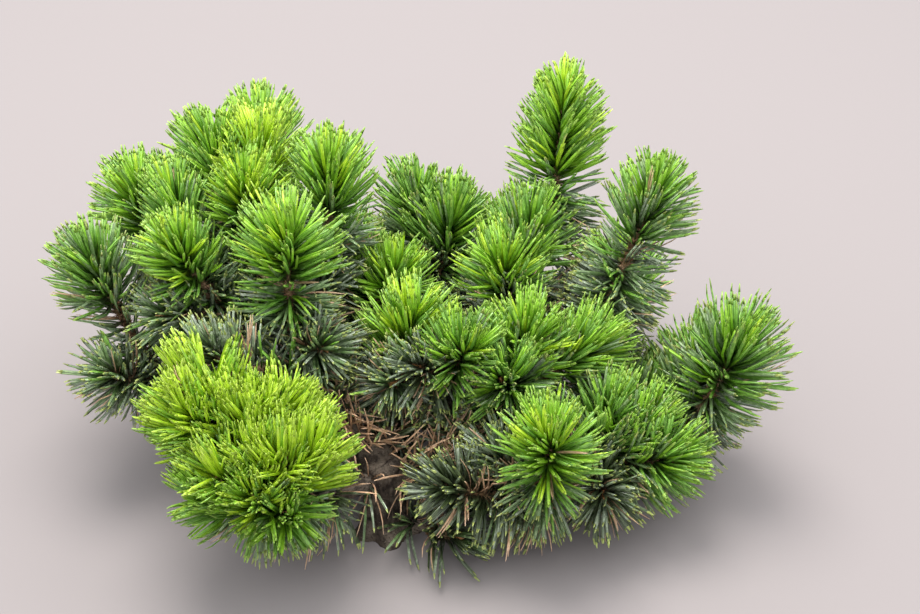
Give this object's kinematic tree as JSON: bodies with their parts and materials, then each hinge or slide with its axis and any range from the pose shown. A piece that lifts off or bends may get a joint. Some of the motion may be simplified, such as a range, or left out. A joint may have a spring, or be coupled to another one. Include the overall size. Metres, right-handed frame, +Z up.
{
  "type": "dwarf mountain pine",
  "caption": "Low, wide-spreading dwarf pine rooted in the ground: a short flared trunk, spreading boughs that turn up at their tips, and dense brushes of stiff needles.",
  "frame": {"origin": "middle of the flat cut under the trunk, at ground level", "axes": "+Z up, +X to the plant's right in the picture and along its longest spread, +Y to its back"},
  "size_m": [0.3846, 0.2908, 0.1961],
  "materials": {
    "bark": "grey-brown flaking bark, matte, rough, with brown scaly patches between the years' growth",
    "needles": "stiff paired needles, waxy satin, fresh yellow-green at the shoot ends and dark blue-green lower down, some dead ones tan"
  },
  "bodies": {
    "root": {"trunk": "bark", "back_bough": "bark", "back_low_bough": "bark", "centre_bough": "bark", "front_left_bough": "bark", "front_right_bough": "bark", "front_upper_bough": "bark", "inner_back_bough": "bark", "inner_right_bough": "bark", "left_back_bough": "bark", "left_bough": "bark", "left_inner_bough": "bark", "left_low_bough": "bark", "left_outer_bough": "bark", "left_side_bough": "bark", "left_top_bough": "bark", "low_bough": "bark", "middle_bough": "bark", "rear_bough": "bark", "rear_centre_bough": "bark", "rear_left_bough": "bark", "rear_middle_bough": "bark", "rear_outer_bough": "bark", "rear_right_bough": "bark", "right_bough": "bark", "right_outer_bough": "bark", "right_rear_bough": "bark", "tall_bough": "bark", "back_low_needles": "needles", "back_needles": "needles", "centre_front_needles": "needles", "front_lower_needles": "needles", "front_right_needles": "needles", "front_upper_needles": "needles", "inner_back_needles": "needles", "inner_right_needles": "needles", "left_back_needles": "needles", "left_crown_needles": "needles", "left_inner_needles": "needles", "left_low_needles": "needles", "left_outer_needles": "needles", "left_side_needles": "needles", "left_top_needles": "needles", "low_sprig_needles": "needles", "middle_needles": "needles", "rear_centre_needles": "needles", "rear_left_needles": "needles", "rear_middle_needles": "needles", "rear_needles": "needles", "rear_outer_needles": "needles", "rear_right_needles": "needles", "right_front_needles": "needles", "right_outer_needles": "needles", "right_rear_needles": "needles", "tall_needles": "needles"}
  },
  "joints": []
}
